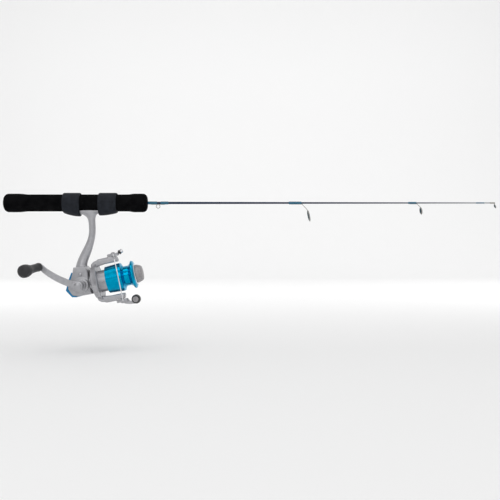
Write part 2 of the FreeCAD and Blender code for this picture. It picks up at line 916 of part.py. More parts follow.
def rotor():
    web = "rotor_web"
    bowl = turned(
        "bowl",
        [
            (web, "pinion_tube_radius"),
            (29, "pinion_tube_radius"),
            (29, 5.6),
            (f"{web} + 1.8", 5.6),
            (f"{web} + 1.8", "drum_radius - 1.6"),
            ("drum_front", "drum_radius - 1.6"),
            ("drum_front", "drum_radius"),
            (f"{web} + 1.4", "drum_radius"),
            (f"{web} + 1.4", 21.4),
            (f"{web} + 1.9", 22.2),
            (f"{web} + 1.5", 23.6, "0.9"),
            (13.6, 20.1, "0.3"),
            (12.8, 17.2),
            (13.6, 16.6),
            (15, 18.4),
            (18.4, 21),
            (web, 20.4),
        ],
    )
    arm = [
        (14.6, 20.6),
        (19.5, 17.6),
        (24, 18.9),
        (30, "arm_inner"),
        ("arm_tip", "arm_inner"),
        ("arm_tip + 0.6", "arm_inner + 2.5"),
        ("arm_tip - 0.9", "arm_outer"),
        (24, "arm_outer - 0.1"),
        (18.4, 25.3),
        (14.8, 22.6),
    ]
    arms = []
    for side, turn in (("upper", 0), ("lower", 180)):
        solid = plate(f"arm_{side}", "XZ_Plane", arm, "2*arm_half_width")
        round_edges(
            solid, 1.5, lambda edge: abs(edge.CenterOfMass.y) > size("arm_half_width") - 0.01
        )
        solid.Placement = at(0, 0, 0, (1, 0, 0), turn)
        arms.append(solid)
    solid = fuse("rotor_solid", [bowl] + arms)
    room = []
    for side, turn in (("upper", 0), ("lower", 180)):
        turned_over = at(0, 0, 0, (1, 0, 0), turn)
        screw_hole = cylinder(f"arm_hole_{side}", 1.4, 8, turned_over * at("bail_pivot", 0, 21))
        room.append(screw_hole)
    room.append(cylinder("spring_room", 2.8, 5, at("bail_pivot", 0, 23.4)))
    room.append(cylinder("rotor_screw_hole", 0.8, 3, towards_handle(27, -11, -1.5)))
    label(cut("rotor_cut", solid, fuse("rotor_room", room)), "rotor", REEL)


def rotor_trim():
    covers = []
    for side, turn in (("upper", 0), ("lower", 180)):
        cover = plate(
            f"cover_{side}",
            "XZ_Plane",
            [
                (22.4, "arm_outer - 0.1"),
                (36, "arm_outer - 0.03"),
                (35.4, "arm_outer + 0.9"),
                (25, "arm_outer + 0.8"),
            ],
            "2*arm_half_width - 3",
        )
        cover.Placement = at(0, 0, 0, (1, 0, 0), turn)
        covers.append(cover)
    label(group("covers", covers), "rotor_arm_covers", REEL)
    screw = pan_screw("drum_screw", 1.5, 0.8, 1.6)
    label(screw, "rotor_screw", REEL * at(27, "-drum_radius", -1.5) * TOWARDS_HANDLE)
    nut = ring("nut_round", "pinion_tube_radius - 0.5", 5.2, 30, 32.6)
    label(nut, "rotor_nut", REEL)


def bail_pivot_screws():
    screws = []
    for side, turn in (("upper", 0), ("lower", 180)):
        screw = pan_screw(f"pivot_{side}", 2.6, 1.4, 9.6)
        screw.Placement = (
            at(0, 0, 0, (1, 0, 0), turn) * at("bail_pivot", 0, 30.9, (0, 1, 0), -90)
        )
        screws.append(screw)
    label(group("pivots", screws), "bail_pivot_screws", REEL)


def bail_spring():
    """A torsion coil in the upper arm, round the pivot screw."""
    coil = doc.addObject("Part::Helix", "coil_line")
    coil.Pitch = 0.9
    coil.Height = 2.4
    coil.Radius = 2.3
    section = doc.addObject("Part::Circle", "coil_section")
    section.Radius = 0.33
    section.Placement = at(2.3, 0, 0, (1, 0, 0), 90)
    doc.recompute()
    sweep = doc.addObject("Part::Sweep", "coil")
    sweep.Sections = [section]
    sweep.Spine = (coil, ["Edge1"])
    sweep.Solid = True
    sweep.Frenet = True
    label(sweep, "bail_spring", REEL * at("bail_pivot", 0, 23.8))


LEVER = [
    ("bail_pivot - 6", 4.4, "-1.6"),
    ("bail_pivot - 6", -4.4),
    ("bail_pivot - 1", -6.4),
    ("bail_pivot + 4.6", -7.2, "-1"),
    ("bail_pivot + 7.6", -3.6),
    ("bail_pivot + 7.2", 0.4, "-1.2"),
    ("bail_pivot + 1.5", 5.8),
]


def bail_lever(side, points, extra, place):
    """A lever on the outside of an arm's end. It turns on the pivot screw."""
    disc = plate(f"lever_{side}", "XY_Plane", points, 3.6, offset=27.1, midplane=False)
    round_edges(disc, 0.5, lambda edge: edge.CenterOfMass.z > 30.6)
    solid = fuse(f"lever_solid_{side}", [disc] + extra)
    room = fuse(
        f"lever_room_{side}",
        [
            cylinder(f"lever_hole_{side}", "1.4 + fit", 8, at("bail_pivot", 0, 25)),
            cylinder(f"lever_screw_room_{side}", 3, 8, at("bail_pivot", 0, 30.7)),
        ],
    )
    label(cut(f"lever_cut_{side}", solid, room), f"bail_lever_{side}", place)


def bail_levers():
    """The upper lever carries the line roller. The lower one is the same disc turned over,
    so its outline is mirrored, and a neck runs on from it to the thumb pad."""
    post_place = REEL.inverse() * ROLLER
    bracket = cylinder("roller_bracket", 1.5, 3.6, post_place * at(-1.2, 0, 0, (0, 1, 0), 90))
    post = cylinder("roller_post", 0.9, 8, post_place * at(0, 0, 0, (0, 1, 0), 90))
    bail_lever("upper", LEVER, [bracket, post], REEL)
    mirrored = [(x, f"-({y})", f"-({bow[0]})") if bow else (x, f"-({y})") for x, y, *bow in LEVER]
    neck = plate(
        "lever_neck",
        "XZ_Plane",
        [
            (44, 29),
            (50.4, 28.4),
            (53, 31.8, "-1.2"),
            (58, 33.4),
            (58.6, 35.9),
            (50, 34.6),
            (43, 32.2),
            (38.6, 30),
        ],
        5,
    )
    stub = cylinder("pad_pin", 1.6, 8, at(60, -4, 30.6, (1, 0, 0), -90))
    web = box("pad_web", (57, -1.4, 29.6), (60, 1.4, 34.6))
    bail_lever("lower", mirrored, [neck, stub, web], REEL * at(0, 0, 0, (1, 0, 0), 180))


def bail_pad():
    """The black thumb pad on the lower lever's end, with a flat disc in its near face."""
    pad = turned(
        "pad_ball",
        [
            (-4.6, 0),
            (-4.6, 3.4, "1.1"),
            (0, 5.5, "0.5"),
            (4.2, 4.2),
            (4.2, 0),
        ],
    )
    place = at(60, 0, -30.6) * TOWARDS_HANDLE
    pad.Placement = place
    lever = at(0, 0, 0, (1, 0, 0), 180)
    room = fuse(
        "pad_room",
        [
            cylinder("pad_bore", 1.6, 8, lever * at(60, -4, 30.6, (1, 0, 0), -90)),
            box("pad_slot", (50, -1.4, -36.2), (60.2, 1.4, -30)),
        ],
    )
    label(cut("pad_cut", pad, room), "bail_pad", REEL)
    cap = turned("pad_cap_disc", [(4.2, 0), (5, 0), (4.9, 3.3), (4.2, 3.6)])
    label(cap, "bail_pad_screw", REEL * place)


def bail_wire():
    """Two straight legs, two bends and a short straight middle, in a plane that holds the
    pivot axis and leans forward from the near side."""
    plane = at("bail_pivot", 0, 0, (0, 0, 1), "bail_lean - 90")
    wire = "bail_wire_radius"
    leg_end = "bail_reach - bail_bend"
    straight = "bail_half_height - bail_bend"
    pieces = [
        cylinder("wire_middle", wire, f"2*({straight})", plane * at("bail_reach", 0, f"-({straight})"))
    ]
    for side, sign in (("upper", 1), ("lower", -1)):
        height = f"({sign})*bail_half_height"
        leg = cylinder(f"wire_leg_{side}", wire, f"{leg_end} - 3", plane * along_x(3, 0, height))
        bend = doc.addObject("Part::Torus", f"wire_bend_{side}")
        bind(bend, Radius1="bail_bend", Radius2=wire)
        bend.Angle3 = 90
        centre = plane * at(leg_end, 0, f"({sign})*({straight})")
        turn = Rotation(Vector(1, 0, 0), 90 if sign > 0 else -90)
        bend.Placement = centre * Placement(Vector(), turn)
        pieces += [leg, bend]
    label(fuse("wire", pieces), "bail_wire", REEL)


def line_roller():
    roller = turned(
        "roller_turned",
        [
            (3, "0.9 + fit"),
            (5.6, "0.9 + fit"),
            (5.6, 2.3, "-0.5"),
            (3, 2.3),
        ],
    )
    label(roller, "line_roller", ROLLER)
    cap = turned(
        "roller_cap_turned",
        [(5.9, 0.9), (8, 0.9), (8, 0), (8.9, 0), (8.4, 2.1, "-0.2"), (7.6, 2.6), (5.9, 2.6)],
    )
    label(cap, "roller_cap", ROLLER)


# ---------------------------------------------------------------- spool and drag


def spool():
    points = [
        ("skirt_back", "skirt_radius - skirt_wall - 0.6"),
        ("skirt_back", "skirt_radius - 0.9"),
        (45.6, "skirt_radius", "0.3"),
        ("skirt_front", "skirt_radius - 0.2"),
        ("skirt_front + 0.9", 14.6),
        (53, "arbor_radius"),
        (58.8, "arbor_radius"),
        ("lip_back + 0.8", 14.2, "-0.3"),
        ("lip_back + 2.4", "lip_radius - 0.4", "0.4"),
        ("lip_back + 4.4", "lip_radius - 0.4", "0.2"),
        ("spool_front", 13.4),
        ("spool_front", "drag_cavity_radius"),
        ("drag_cavity_back", "drag_cavity_radius"),
        ("drag_cavity_back", "shaft_radius + fit"),
        (47, "shaft_radius + fit"),
        (47, 3.4),
        (48.6, 3.4),
        (48.6, "skirt_radius - skirt_wall"),
    ]
    label(turned("spool_turned", points), "spool", REEL)
    trim = turned(
        "trim",
        [
            ("spool_front", "drag_cavity_radius + 0.6"),
            ("spool_front + 0.7", "drag_cavity_radius + 0.6"),
            ("spool_front + 0.7", 12.3),
            ("spool_front", 12.9),
        ],
    )
    label(trim, "spool_trim_ring", REEL)


def clicker():
    wheel = star("click", 4.8, 4.1, 16, 43.4, 1.2, "shaft_radius")
    label(wheel, "click_wheel", REEL)
    tongue = plate(
        "tongue",
        "YZ_Plane",
        [(-1.5, 7), (1.5, 7), (1.5, 10), (-1.5, 10)],
        2,
        offset=44,
        midplane=False,
    )
    tip = plate(
        "tongue_tip",
        "YZ_Plane",
        [(-0.4, 5.2), (0.4, 5.2), (1.2, 7.6), (-1.2, 7.6)],
        1.2,
        offset=44,
        midplane=False,
    )
    post = cylinder("tongue_post", 1, 2.8, along_x(45.8, 0, 8.6))
    label(fuse("tongue_and_post", [tongue, tip, post]), "click_pawl", REEL)


def drag_stack():
    """Felt and steel washers in turn in the spool's front, held by a wire clip."""
    back = "drag_cavity_back"
    bore = "shaft_radius + fit"
    felts = [
        ring(f"felt_{index}", bore, "drag_cavity_radius - 0.2", f"{back} + {start}",
             f"{back} + {start} + 1")
        for index, start in enumerate((0.1, 1.9))
    ]
    plates = [
        ring(f"steel_{index}", bore, "drag_cavity_radius - 0.2", f"{back} + {start}",
             f"{back} + {start} + 0.6")
        for index, start in enumerate((1.2, 3.0))
    ]
    label(group("felts", felts), "drag_felt_washers", REEL)
    label(group("steels", plates), "drag_steel_washers", REEL)
    clip = ring("clip", "drag_cavity_radius - 1.4", "drag_cavity_radius", 57, 57.7)
    label(clip, "drag_retaining_clip", REEL)


def drag_knob():
    """The fluted knob, with the nut and the cone spring that press on the washers."""
    base = "spool_front + 1"
    bore = "shaft_radius + fit"
    body = turned(
        "knob_turned",
        [
            (58.4, 6),
            (66, 6),
            (66, bore),
            (73, bore),
            (73, 0),
            ("knob_front + 0.5", 0),
            ("knob_front + 0.5", 1.5, "-0.22"),
            ("knob_front - 0.4", 8.4),
            ("knob_front - 1.4", 9.4),
            (f"{base} + 1.4", 11.3),
            (base, 11.2),
            (base, 7.6),
            (58.4, 7.6),
        ],
    )
    flutes = []
    for index in range(16):
        spoke = at(0, 0, 0, (1, 0, 0), 22.5 * index)
        groove = at(f"{base} + 1.8", 0, 12.6, (0, 1, 0), 105)
        flutes.append(cylinder(f"knob_flute_{index}", 1.5, 12, spoke * groove))
    label(cut("knob_fluted", body, fuse("knob_flutes", flutes)), "drag_knob", REEL)
    corners = [
        (round(3.6 * math.cos(math.radians(60 * index)), 4),
         round(3.6 * math.sin(math.radians(60 * index)), 4))
        for index in range(6)
    ]
    hexagon = plate("nut_blank", "YZ_Plane", corners, 2.6, offset=60, midplane=False)
    hole = cylinder("nut_hole", bore, 4, along_x(59))
    label(cut("nut_drilled", hexagon, hole), "drag_nut", REEL)
    spring = turned("cone", [(58, 2), (58.5, 2), (58, 5.4), (57.5, 5.4)])
    label(spring, "drag_spring_washer", REEL)


# ---------------------------------------------------------------- handle


def handle_arm():
    """A cranked arm: its side view and its plan are padded and their common part kept."""
    seat = "knob_seat - 1.6"
    side = plate(
        "arm_side",
        "XY_Plane",
        [
            (-6, "-handle_hub_face"),
            (7, "-handle_hub_face"),
            ("handle_length - 9", f"-({seat} + 1.2)"),
            ("handle_length + 4", f"-({seat} + 1.6)"),
            ("handle_length + 4", f"-({seat} - 1.6)"),
            ("handle_length - 8", f"-({seat} - 2)"),
            (8, "-handle_hub_face + 3.4"),
            (-6, "-handle_hub_face + 3.4"),
        ],
        16,
    )
    plan = plate(
        "arm_plan",
        "XZ_Plane",
        [
            (0, -4.4, "arm_bow"),
            ("handle_length", -3.2, "-3.1"),
            ("handle_length", 3.2, "-arm_bow"),
            (0, 4.4, "-4.3"),
        ],
        140,
    )
    arm = common("arm_bar", [side, plan])
    doc.recompute()
    hub = cylinder(
        "handle_hub", "handle_hub_radius", "handle_hub_face - 21", towards_handle(0, -20.6, 0)
    )
    solid = fuse("arm_and_hub", [arm, hub])
    room = fuse(
        "arm_room",
        [
            cylinder("hub_bore", "drive_shaft_radius", 12, towards_handle(0, -17, 0)),
            cylinder("hub_screw_bore", 1.5, 20, towards_handle(0, -20, 0)),
        ],
    )
    label(cut("arm_bored", solid, room), "handle_arm", HANDLE)
    screw = turned(
        "handle_screw_turned",
        [
            (-8, 0),
            (2.6, 0),
            (2.6, 0.8, "-0.25"),
            (1.6, 3.6, "-0.3"),
            (0, 4.4),
            (0, 1.5),
            (-8, 1.5),
        ],
    )
    label(screw, "handle_screw", REEL * at(0, "-handle_hub_face", 0) * TOWARDS_HANDLE)


def handle_knob():
    post = turned(
        "post",
        [
            (-1, 0),
            ("knob_length - 4", 0),
            ("knob_length - 4", 2),
            ("knob_length - 6", 2),
            ("knob_length - 6", "knob_post_radius"),
            (2.2, "knob_post_radius"),
            (2.2, 4.6),
            (0, 4.4),
            (-1, 3.4),
        ],
    )
    label(post, "knob_post", KNOB)
    bore = "knob_post_radius + fit"
    grip_points = [
        (2.6, bore),
        (2.6, 4.9),
        (4.5, 5.1),
        (9, 4.75),
        (17, 4.9, "-0.4"),
        (27, 6.9, "0.2"),
        ("knob_length - 3", 7.6),
        ("knob_length", 7.2, "0.3"),
        ("knob_length + 2", 4.4, "0.1"),
        ("knob_length + 2.4", 1),
        ("knob_length + 2.4", 0),
        ("knob_length - 3.2", 0),
        ("knob_length - 3.2", 2.4),
        ("knob_length - 6.6", 2.4),
        ("knob_length - 6.6", bore),
    ]
    label(turned("knob_moulded", grip_points), "handle_knob", KNOB)


# ---------------------------------------------------------------- build and write


def reel():
    reel_body()
    side_cover()
    rear_cover()
    case_screws()
    oil_plug()
    bushes()
    drive_gear()
    drive_shaft()
    pinion()
    bearing()
    anti_reverse()
    main_shaft()
    slider()
    rotor()
    rotor_trim()
    bail_pivot_screws()
    bail_spring()
    bail_levers()
    bail_pad()
    bail_wire()
    line_roller()
    spool()
    clicker()
    drag_stack()
    drag_knob()
    handle_arm()
    handle_knob()


def check_and_write():
    doc.recompute()
    for item in doc.Objects:
        if "Invalid" in item.State or "Error" in item.State:
            raise RuntimeError(f"{item.Name} did not build: {item.State}")
    for name, item in nodes.items():
        if item.Shape.isNull() or not item.Shape.isValid():
            raise RuntimeError(f"{name} has no valid shape")
    os.makedirs("parts", exist_ok=True)
    for name, item in nodes.items():
        item.Shape.exportStep(os.path.join("parts", name + ".step"))


rod()
reel()
check_and_write()
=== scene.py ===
import json
import math

import bmesh
import bpy
from mathutils import Matrix, Vector, noise

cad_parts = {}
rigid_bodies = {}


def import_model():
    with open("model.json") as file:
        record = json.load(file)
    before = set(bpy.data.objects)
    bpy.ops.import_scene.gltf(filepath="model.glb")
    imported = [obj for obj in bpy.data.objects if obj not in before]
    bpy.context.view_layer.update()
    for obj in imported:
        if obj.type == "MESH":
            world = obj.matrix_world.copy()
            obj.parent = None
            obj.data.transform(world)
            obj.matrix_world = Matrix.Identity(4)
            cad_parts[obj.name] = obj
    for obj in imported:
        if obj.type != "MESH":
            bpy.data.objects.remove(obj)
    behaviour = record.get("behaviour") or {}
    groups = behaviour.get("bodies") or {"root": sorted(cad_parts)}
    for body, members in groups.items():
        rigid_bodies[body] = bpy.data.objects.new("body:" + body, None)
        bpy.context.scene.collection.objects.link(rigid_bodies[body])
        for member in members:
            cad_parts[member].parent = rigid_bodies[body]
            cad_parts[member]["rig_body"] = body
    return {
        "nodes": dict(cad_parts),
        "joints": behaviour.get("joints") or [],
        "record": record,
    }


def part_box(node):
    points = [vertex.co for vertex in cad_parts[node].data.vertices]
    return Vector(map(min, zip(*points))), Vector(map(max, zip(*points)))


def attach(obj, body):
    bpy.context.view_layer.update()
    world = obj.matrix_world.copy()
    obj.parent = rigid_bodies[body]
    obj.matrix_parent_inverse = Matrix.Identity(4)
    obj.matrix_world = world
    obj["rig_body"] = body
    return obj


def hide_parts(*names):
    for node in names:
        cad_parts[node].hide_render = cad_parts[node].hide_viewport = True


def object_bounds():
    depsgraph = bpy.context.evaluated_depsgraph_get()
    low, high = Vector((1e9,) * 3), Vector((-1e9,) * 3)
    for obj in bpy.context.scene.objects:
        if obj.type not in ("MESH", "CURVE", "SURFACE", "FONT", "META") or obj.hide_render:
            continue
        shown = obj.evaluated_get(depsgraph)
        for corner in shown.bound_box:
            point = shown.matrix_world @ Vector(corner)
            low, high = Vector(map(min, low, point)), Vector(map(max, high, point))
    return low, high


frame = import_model()

# Looks for the ice fishing rod. Lengths in this file are millimetres, turned to metres where a
# mesh is made. +X runs along the rod to its tip, +Z is up, and the reel's handle is on -Y.

MM = 0.001
CAD_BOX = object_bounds()
NODES = frame["nodes"]
JOINTS = {joint["name"]: joint for joint in frame["joints"]}


# ---------------------------------------------------------------- places


def place(origin, along, up):
    """A frame at a point in metres, with its own x along one direction and z near another."""
    x_axis = Vector(along).normalized()
    y_axis = Vector(up).cross(x_axis).normalized()
    z_axis = x_axis.cross(y_axis)
    turn = Matrix((x_axis, y_axis, z_axis)).transposed().to_4x4()
    return Matrix.Translation(Vector(origin)) @ turn


REEL = place(
    JOINTS["crank_turn"]["pos_m"], JOINTS["rotor_turn"]["axis"], JOINTS["bail_flip"]["axis"]
)


def box_mm(node):
    low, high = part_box(node)
    return low / MM, high / MM


# ---------------------------------------------------------------- ways to make a shape


def smooth_step(value, start, end):
    share = min(1, max(0, (value - start) / (end - start)))
    return share * share * (3 - 2 * share)


def spread(start, end, count):
    """Evenly spaced values from start to end, both included."""
    return [start + (end - start) * index / (count - 1) for index in range(count)]


def circle(count):
    """The angles of evenly spaced points round a circle."""
    return [2 * math.pi * index / count for index in range(count)]


def skin(rings, closed=False):
    """Points and faces of a surface over rings of points. The rings make a loop if closed,
    and the two end rings are capped if not."""
    count = len(rings[0])
    points = [point for ring in rings for point in ring]
    faces = []
    for row in range(len(rings) if closed else len(rings) - 1):
        here = row * count
        there = (row + 1) % len(rings) * count
        for index in range(count):
            beside = (index + 1) % count
            faces.append((here + index, here + beside, there + beside, there + index))
    if not closed:
        faces.append(tuple(range(count)))
        faces.append(tuple(range(len(points) - count, len(points))))
    return points, faces


def add_piece(name, shape, material, body):
    """Makes a mesh piece from points in millimetres and faces, and lets it ride on a body."""
    points, faces = shape
    mesh = bpy.data.meshes.new(name)
    mesh.from_pydata([Vector(point) * MM for point in points], [], faces)
    clean = bmesh.new()
    clean.from_mesh(mesh)
    bmesh.ops.recalc_face_normals(clean, faces=clean.faces)
    clean.to_mesh(mesh)
    clean.free()
    mesh.polygons.foreach_set("use_smooth", [True] * len(mesh.polygons))
    mesh.materials.append(material)
    item = bpy.data.objects.new(name, mesh)
    bpy.context.scene.collection.objects.link(item)
    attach(item, body)
    return item


def moulded(node, voxel, rounds, keep, material, body):
    """Stands for a cast or moulded CAD node: the same solid with every edge softened, as it
    leaves a mould."""
    mesh = NODES[node].data.copy()
    mesh.name = node + "_moulded"
    item = bpy.data.objects.new(mesh.name, mesh)
    bpy.context.scene.collection.objects.link(item)
    remesh = item.modifiers.new("remesh", "REMESH")
    remesh.mode = "VOXEL"
    remesh.voxel_size = voxel * MM
    soften = item.modifiers.new("soften", "SMOOTH")
    soften.factor = 0.5
    soften.iterations = rounds
    thin = item.modifiers.new("thin", "DECIMATE")
    thin.ratio = keep
    bpy.context.view_layer.update()
    evaluated = item.evaluated_get(bpy.context.evaluated_depsgraph_get())
    final = bpy.data.meshes.new_from_object(evaluated)
    item.modifiers.clear()
    item.data = final
    final.polygons.foreach_set("use_smooth", [True] * len(final.polygons))
    final.materials.clear()
    final.materials.append(material)
    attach(item, body)
    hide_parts(node)
    return item


# ---------------------------------------------------------------- ways to make a material


class Finish:
    """A procedural material. Its patterns lie in the piece's own space, in millimetres."""

    def __init__(self, name, colour, roughness, metallic=0.0, **sockets):
        self.material = bpy.data.materials.new(name)
        self.material.use_nodes = True
        self.tree = self.material.node_tree
        self.shader = self.tree.nodes["Principled BSDF"]
        self.shader.inputs["Base Color"].default_value = (*colour, 1)
        self.shader.inputs["Roughness"].default_value = roughness
        self.shader.inputs["Metallic"].default_value = metallic
        for socket, value in sockets.items():
            self.shader.inputs[socket.replace("_", " ")].default_value = value
        self.space = self.add("ShaderNodeTexCoord").outputs["Object"]

    def add(self, kind, **settings):
        node = self.tree.nodes.new(kind)
        for setting, value in settings.items():
            setattr(node, setting, value)
        return node

    def link(self, output, entry):
        self.tree.links.new(output, entry)

    def own_axes(self, matrix):
        """The pattern space turned into the axes of a place, such as the reel's."""
        mapping = self.add("ShaderNodeMapping")
        inverse = matrix.inverted()
        mapping.inputs["Location"].default_value = inverse.to_translation()
        mapping.inputs["Rotation"].default_value = inverse.to_euler()
        self.link(self.space, mapping.inputs["Vector"])
        self.space = mapping.outputs["Vector"]

    def noise(self, grain, detail=3, stretch=(1, 1, 1)):
        """Noise whose features are about grain millimetres across."""
        mapping = self.add("ShaderNodeMapping")
        mapping.inputs["Scale"].default_value = [1 / (MM * grain * part) for part in stretch]
        texture = self.add("ShaderNodeTexNoise")
        texture.inputs["Scale"].default_value = 1
        texture.inputs["Detail"].default_value = detail
        self.link(self.space, mapping.inputs["Vector"])
        self.link(mapping.outputs["Vector"], texture.inputs["Vector"])
        return texture.outputs["Fac"]

    def cells(self, grain):
        """Rounded cells about grain millimetres across: 0 at a cell's middle."""
        texture = self.add("ShaderNodeTexVoronoi")
        texture.inputs["Scale"].default_value = 1 / (MM * grain)
        self.link(self.space, texture.inputs["Vector"])
        return texture.outputs["Distance"]

    def rings(self, pitch, distortion=0.0):
        """Fine lines round the space's own x axis, pitch millimetres apart."""
        texture = self.add("ShaderNodeTexWave", wave_type="BANDS", bands_direction="X")
        texture.inputs["Scale"].default_value = math.pi / (10 * pitch * MM)
        texture.inputs["Distortion"].default_value = distortion
        self.link(self.space, texture.inputs["Vector"])
        return texture.outputs["Fac"]

    def ramp(self, factor, *stops):
        """Colours or grey values placed along a factor, as (position, value) pairs."""
        node = self.add("ShaderNodeValToRGB")
        stretch = node.color_ramp.elements
        while len(stretch) < len(stops):
            stretch.new(0.5)
        for element, (position, value) in zip(stretch, stops):
            element.position = position
            colour = (value, value, value) if isinstance(value, (int, float)) else value
            element.color = (*colour, 1)
        self.link(factor, node.inputs["Fac"])
        return node.outputs["Color"]

    def colour(self, output):
        self.link(output, self.shader.inputs["Base Color"])
        return self

    def roughness(self, output):
        self.link(output, self.shader.inputs["Roughness"])
        return self

    def bump(self, height, depth, strength=1.0):
        """Raises the surface by up to depth millimetres where the height is white."""
        node = self.add("ShaderNodeBump")
        node.inputs["Distance"].default_value = depth * MM
        node.inputs["Strength"].default_value = strength
        self.link(height, node.inputs["Height"])
        entry = self.shader.inputs["Normal"]
        if entry.is_linked:
            self.link(entry.links[0].from_socket, node.inputs["Normal"])
        self.link(node.outputs["Normal"], entry)
        return self

    def worn_and_highlit_edges(self, radius):
        """1 on sharp edges and 0 on open faces: the edges that are lightened, partly as rubbed wear and
        partly as a painted highlight.
        """
        bevel = self.add("ShaderNodeBevel", samples=6)
        bevel.inputs["Radius"].default_value = radius * MM
        plain = self.add("ShaderNodeNewGeometry")
        dot = self.add("ShaderNodeVectorMath", operation="DOT_PRODUCT")
        self.link(bevel.outputs["Normal"], dot.inputs[0])
        self.link(plain.outputs["Normal"], dot.inputs[1])
        return self.ramp(dot.outputs["Value"], (0.75, 1.0), (0.97, 0.0))

    def mix(self, factor, first, second):
        """First where the factor is 0 and second where it is 1. Each is a colour or an output."""
        node = self.add("ShaderNodeMix", data_type="RGBA")
        self.link(factor, node.inputs[0])
        for entry, value in ((node.inputs[6], first), (node.inputs[7], second)):
            if isinstance(value, tuple):
                entry.default_value = (*value, 1)
            else:
                self.link(value, entry)
        return node.outputs[2]


def foam():
    """Closed-cell foam: matt black with pores and faint scuffs."""
    finish = Finish("foam", (0.006, 0.006, 0.0065), 0.95, Specular_IOR_Level=0.03)
    pores = finish.cells(0.45)
    blotches = finish.noise(9, 4)
    finish.colour(finish.ramp(blotches, (0.35, (0.0025, 0.0025, 0.003)), (0.75, (0.006, 0.006, 0.0066))))
    finish.bump(finish.ramp(pores, (0.0, 0.0), (0.55, 1.0)), 0.06)
    finish.bump(finish.noise(2.4, 4), 0.12, 0.5)
    return finish.material


def band_rubber():
    """Rubber bands: dark slate, finely grained, paler where they are rubbed."""
    finish = Finish("band_rubber", (0.013, 0.015, 0.02), 0.66, Specular_IOR_Level=0.12)
    grain = finish.noise(0.35, 5)
    rubbed = finish.noise(6, 4)
    finish.colour(finish.ramp(rubbed, (0.3, (0.0095, 0.011, 0.015)), (0.75, (0.022, 0.025, 0.032))))
    finish.roughness(finish.ramp(rubbed, (0.3, 0.55), (0.7, 0.74)))
    finish.bump(grain, 0.035)
    return finish.material


def blank_finish():
    """Dark blue composite with a spiral of tape lines."""
    finish = Finish("blank_finish", (0.008, 0.022, 0.06), 0.5, Specular_IOR_Level=0.1)
    tape = finish.rings(1.6, 1.5)
    fibre = finish.noise(0.5, 3, stretch=(14, 1, 1))
    base = finish.ramp(fibre, (0.3, (0.005, 0.015, 0.042)), (0.75, (0.013, 0.034, 0.085)))
    finish.colour(finish.mix(finish.ramp(tape, (0.6, 0.0), (1.0, 0.5)), base, (0.003, 0.008, 0.02)))
    finish.bump(tape, 0.015)
    return finish.material


def thread():
    """Teal winding thread soaked in lacquer."""
    finish = Finish("thread", (0.0, 0.09, 0.16), 0.42, Coat_Weight=0.3, Coat_Roughness=0.2)
    strand = finish.noise(0.25, 3, stretch=(1, 6, 6))
    finish.colour(finish.ramp(strand, (0.3, (0.0, 0.05, 0.1)), (0.75, (0.0, 0.16, 0.26))))
    finish.bump(strand, 0.02)
    return finish.material


def wire(name, colour, roughness):
    """Drawn metal wire with fine scratches along it."""
    finish = Finish(name, colour, roughness, 1.0)
    scratches = finish.noise(0.15, 3, stretch=(10, 2, 2))
    finish.roughness(finish.ramp(scratches, (0.3, roughness * 0.7), (0.8, roughness * 1.5)))
    finish.bump(scratches, 0.006)
    return finish.material


def ring_ceramic():
    """Polished dark ceramic with a blue-green tint."""
    finish = Finish("ring_ceramic", (0.004, 0.03, 0.05), 0.16, Coat_Weight=0.6)
    clouds = finish.noise(1.2, 4)
    finish.colour(finish.ramp(clouds, (0.3, (0.003, 0.02, 0.036)), (0.8, (0.006, 0.05, 0.08))))
    finish.bump(clouds, 0.01)
    return finish.material


def silver_paint(name, dark, light, edge):
    """Satin silver paint over moulded plastic: metal flake, faint orange peel, edges lightened partly as
    rubbed wear and partly as a painted highlight.
    """
    finish = Finish(name, light, 0.36, 0.72, Coat_Weight=0.25, Coat_Roughness=0.25)
    flake = finish.cells(0.11)
    clouds = finish.noise(7, 4)
    base = finish.mix(finish.ramp(clouds, (0.3, 0.0), (0.75, 1.0)), dark, light)
    speckled = finish.mix(finish.ramp(flake, (0.1, 0.22), (0.5, 0.0)), base, (0.85, 0.85, 0.88))
    # Edges lightened towards the edge colour: partly rubbed wear, partly a painted highlight on the
    # rounded edges.
    finish.colour(finish.mix(finish.worn_and_highlit_edges(0.35), speckled, edge))
    finish.roughness(finish.ramp(flake, (0.1, 0.28), (0.6, 0.42)))
    finish.bump(finish.noise(0.9, 2), 0.012)
    finish.bump(flake, 0.003)
    return finish.material


def blue_paint():
    """Blue metallic paint on the rear cover."""
    finish = Finish("blue_paint", (0.0, 0.19, 0.42), 0.3, 0.55, Coat_Weight=0.5, Coat_Roughness=0.12)
    flake = finish.cells(0.12)
    # Edges lightened to a paler blue: partly rubbed wear, partly a painted highlight.
    finish.colour(
        finish.mix(
            finish.worn_and_highlit_edges(0.3),
            finish.ramp(flake, (0.1, (0.0, 0.3, 0.58)), (0.55, (0.0, 0.17, 0.39))),
            (0.05, 0.42, 0.7),
        )
    )
    finish.bump(finish.noise(0.8, 2), 0.01)
    return finish.material


def anodised():
    """Bright blue anodised aluminium with the fine rings that a lathe leaves."""
    finish = Finish("anodised_blue", (0.0, 0.33, 0.56), 0.2, 1.0)
    finish.own_axes(REEL)
    lathe = finish.rings(0.22, 0.6)
    clouds = finish.noise(5, 3)
    finish.colour(finish.ramp(clouds, (0.3, (0.0, 0.27, 0.48)), (0.75, (0.0, 0.4, 0.65))))
    finish.roughness(finish.ramp(lathe, (0.0, 0.15), (1.0, 0.27)))
    finish.bump(lathe, 0.004)
    return finish.material


def drag_grey():
    """Satin grey paint of the drag knob."""
    finish = Finish("drag_grey", (0.31, 0.3, 0.31), 0.42, 0.35, Coat_Weight=0.15)
    clouds = finish.noise(3, 4)
    base = finish.ramp(clouds, (0.3, (0.26, 0.25, 0.26)), (0.75, (0.36, 0.35, 0.36)))
    # Edges lightened to a paler grey: partly rubbed wear, partly a painted highlight.
    finish.colour(finish.mix(finish.worn_and_highlit_edges(0.3), base, (0.55, 0.54, 0.55)))
    finish.bump(finish.noise(0.3, 3), 0.01)
    return finish.material


